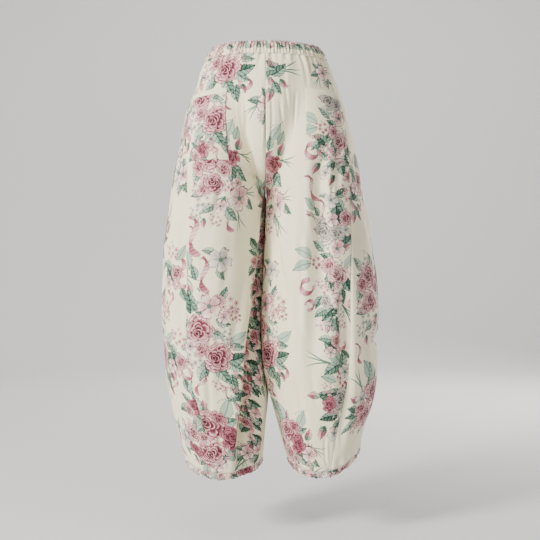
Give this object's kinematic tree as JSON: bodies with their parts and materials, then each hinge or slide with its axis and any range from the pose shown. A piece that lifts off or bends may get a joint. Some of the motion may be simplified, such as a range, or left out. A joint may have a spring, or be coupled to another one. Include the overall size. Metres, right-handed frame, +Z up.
{
  "type": "barrel leg trousers",
  "caption": "Barrel leg trousers in printed cotton, hollow as worn: gathered elastic waist, full legs drawn in at gathered hems, patch pockets at the back.",
  "frame": {"origin": "middle of the waistband, on the garment's centre line at half the band's height, where the wearer's waist holds the trousers", "axes": "+Z up, the back of the trousers faces +Y and the front faces -Y, the wearer's left leg is at +X"},
  "size_m": [0.4894, 0.2588, 0.953],
  "materials": {
    "leg_cotton": "plain-woven cotton, ivory with a floral print, matt",
    "pocket_cotton": "plain-woven cotton, ivory with a floral print, matt",
    "waistband_cotton": "plain-woven cotton gathered on elastic, ivory with a floral print, matt",
    "hem_cotton": "plain-woven cotton lightly gathered on elastic, ivory with a floral print, matt"
  },
  "bodies": {
    "root": {"waistband": "waistband_cotton", "left_back": "leg_cotton", "left_front": "leg_cotton", "left_hem_band": "hem_cotton", "left_pocket": "pocket_cotton", "right_back": "leg_cotton", "right_front": "leg_cotton", "right_hem_band": "hem_cotton", "right_pocket": "pocket_cotton"}
  },
  "joints": []
}
